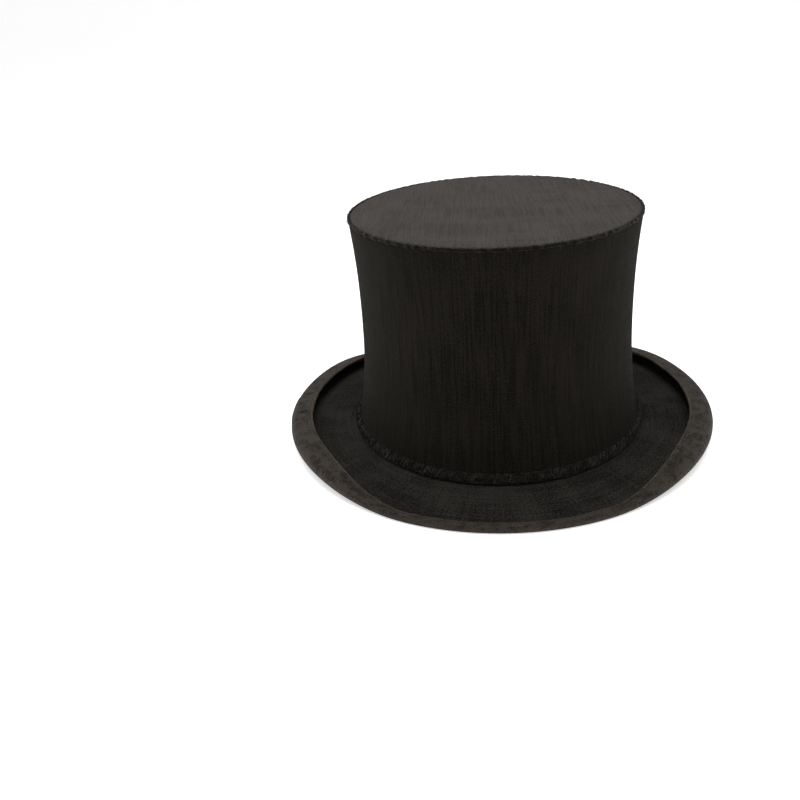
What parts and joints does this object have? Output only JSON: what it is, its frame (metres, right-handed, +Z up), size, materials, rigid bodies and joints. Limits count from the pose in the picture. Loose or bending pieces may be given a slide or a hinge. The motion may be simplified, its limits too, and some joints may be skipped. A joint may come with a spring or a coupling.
{
  "type": "collapsible top hat",
  "caption": "Tall oval top hat with a waisted cloth crown, a flat tip and a brim rolled at the sides; jointed arms inside let the crown fold flat.",
  "frame": {"origin": "on the surface the hat stands on, under the middle of its bounding box", "axes": "+Z up through the tip, -Y towards the front of the hat, the long axis of the oval along Y and the rolled sides of the brim at -X and +X"},
  "size_m": [0.2712, 0.302, 0.1407],
  "materials": {
    "black_cloth": "fine ribbed wool cloth, warm black, matt",
    "tip_cloth": "fine ribbed cloth, warm dark grey, matt",
    "black_ribbon": "ribbed grosgrain ribbon, faded black, worn brown at its edges",
    "black_plush": "fuzzy silk plush, black",
    "board": "stiffened millboard",
    "steel": "blued spring steel, dull",
    "leather": "thin brown sheepskin, satin",
    "satin": "cream silk satin, slightly shiny"
  },
  "bodies": {
    "base": {"brim_board": "board", "brim_top_cover": "black_cloth", "brim_under_cover": "black_cloth", "brim_binding": "black_ribbon", "hat_band": "black_plush", "crown_cover": "black_cloth", "base_hoop": "steel", "sweatband": "leather", "lining_side": "satin", "base_bracket_1": "steel", "base_rivet_1": "steel", "base_pin_1": "steel", "base_bracket_2": "steel", "base_rivet_2": "steel", "base_pin_2": "steel", "base_bracket_3": "steel", "base_rivet_3": "steel", "base_pin_3": "steel", "base_bracket_4": "steel", "base_rivet_4": "steel", "base_pin_4": "steel"},
    "lower_link_1": {"lower_arm_1": "steel", "knee_pin_1": "steel", "knee_spring_1": "steel"},
    "upper_link_1": {"upper_arm_1": "steel"},
    "lower_link_2": {"lower_arm_2": "steel", "knee_pin_2": "steel", "knee_spring_2": "steel"},
    "upper_link_2": {"upper_arm_2": "steel"},
    "lower_link_3": {"lower_arm_3": "steel", "knee_pin_3": "steel", "knee_spring_3": "steel"},
    "upper_link_3": {"upper_arm_3": "steel"},
    "lower_link_4": {"lower_arm_4": "steel", "knee_pin_4": "steel", "knee_spring_4": "steel"},
    "upper_link_4": {"upper_arm_4": "steel"},
    "tip": {"tip_board": "board", "tip_cover": "tip_cloth", "tip_piping": "black_plush", "tip_hoop": "steel", "lining_tip": "satin", "tip_bracket_1": "steel", "tip_rivet_1": "steel", "tip_pin_1": "steel", "tip_bracket_2": "steel", "tip_rivet_2": "steel", "tip_pin_2": "steel", "tip_bracket_3": "steel", "tip_rivet_3": "steel", "tip_pin_3": "steel", "tip_bracket_4": "steel", "tip_rivet_4": "steel", "tip_pin_4": "steel"}
  },
  "joints": [
    {"name": "crown_fold", "type": "hinge", "parent": "base", "child": "lower_link_1", "pos_m": [-0.05695, -0.07024, 0.017], "axis": [-0.645, 0.7642, 0], "range_deg": [0, 84], "stiffness_Nm_per_rad": 0.25, "springref_deg": -34.38, "deforming": ["crown_cover", "sweatband", "lining_side", "lining_tip"]},
    {"name": "knee_1", "type": "hinge", "parent": "lower_link_1", "child": "upper_link_1", "pos_m": [-0.05695, -0.07024, 0.072], "axis": [-0.645, 0.7642, 0], "range_deg": [-168, 0]},
    {"name": "tip_level", "type": "hinge", "parent": "upper_link_1", "child": "tip", "pos_m": [-0.05695, -0.07024, 0.127], "axis": [-0.645, 0.7642, 0], "range_deg": [0, 84]},
    {"name": "lower_fold_2", "type": "hinge", "parent": "base", "child": "lower_link_2", "pos_m": [0.05695, -0.07024, 0.017], "axis": [-0.645, -0.7642, 0], "range_deg": [0, 84]},
    {"name": "knee_2", "type": "hinge", "parent": "lower_link_2", "child": "upper_link_2", "pos_m": [0.05695, -0.07024, 0.072], "axis": [-0.645, -0.7642, 0], "range_deg": [-168, 0]},
    {"name": "lower_fold_3", "type": "hinge", "parent": "base", "child": "lower_link_3", "pos_m": [0.05695, 0.07024, 0.017], "axis": [0.645, -0.7642, 0], "range_deg": [0, 84]},
    {"name": "knee_3", "type": "hinge", "parent": "lower_link_3", "child": "upper_link_3", "pos_m": [0.05695, 0.07024, 0.072], "axis": [0.645, -0.7642, 0], "range_deg": [-168, 0]},
    {"name": "lower_fold_4", "type": "hinge", "parent": "base", "child": "lower_link_4", "pos_m": [-0.05695, 0.07024, 0.017], "axis": [0.645, 0.7642, 0], "range_deg": [0, 84]},
    {"name": "knee_4", "type": "hinge", "parent": "lower_link_4", "child": "upper_link_4", "pos_m": [-0.05695, 0.07024, 0.072], "axis": [0.645, 0.7642, 0], "range_deg": [-168, 0]}
  ],
  "couplings": [
    {"joint": "knee_1", "follows": "crown_fold", "ratio": -2},
    {"joint": "tip_level", "follows": "crown_fold", "ratio": 1},
    {"joint": "lower_fold_2", "follows": "crown_fold", "ratio": 1},
    {"joint": "knee_2", "follows": "crown_fold", "ratio": -2},
    {"joint": "lower_fold_3", "follows": "crown_fold", "ratio": 1},
    {"joint": "knee_3", "follows": "crown_fold", "ratio": -2},
    {"joint": "lower_fold_4", "follows": "crown_fold", "ratio": 1},
    {"joint": "knee_4", "follows": "crown_fold", "ratio": -2}
  ]
}
